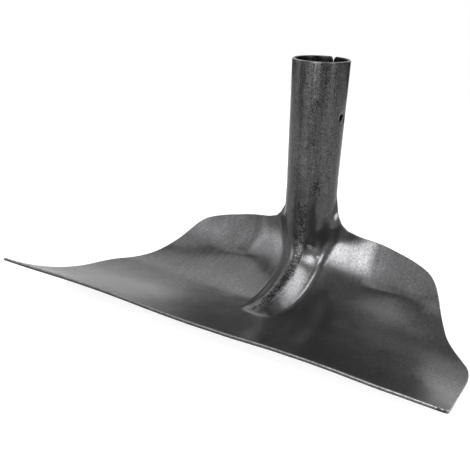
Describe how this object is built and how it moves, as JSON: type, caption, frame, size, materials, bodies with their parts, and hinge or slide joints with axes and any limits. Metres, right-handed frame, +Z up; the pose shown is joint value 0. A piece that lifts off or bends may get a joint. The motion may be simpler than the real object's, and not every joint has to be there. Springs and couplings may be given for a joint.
{
  "type": "manure scraper head",
  "caption": "Pressed steel scraper head: a wide dished blade with a half-round ridge that rises into a rolled, tapered handle socket open along its back seam.",
  "frame": {"origin": "bottom centre of the box around the head, under the blade's lowest line side to side", "axes": "+Z up along the socket towards its mouth, +X along the cutting edge towards the side with the fixing hole, -Y towards the cutting edge"},
  "size_m": [0.32, 0.1806, 0.1718],
  "materials": {
    "lacquered_steel": "thin clear lacquer over dark mottled forging scale, semi-gloss, with fine drawing streaks along the socket"
  },
  "bodies": {
    "root": {"blade": "lacquered_steel", "socket": "lacquered_steel"}
  },
  "joints": []
}
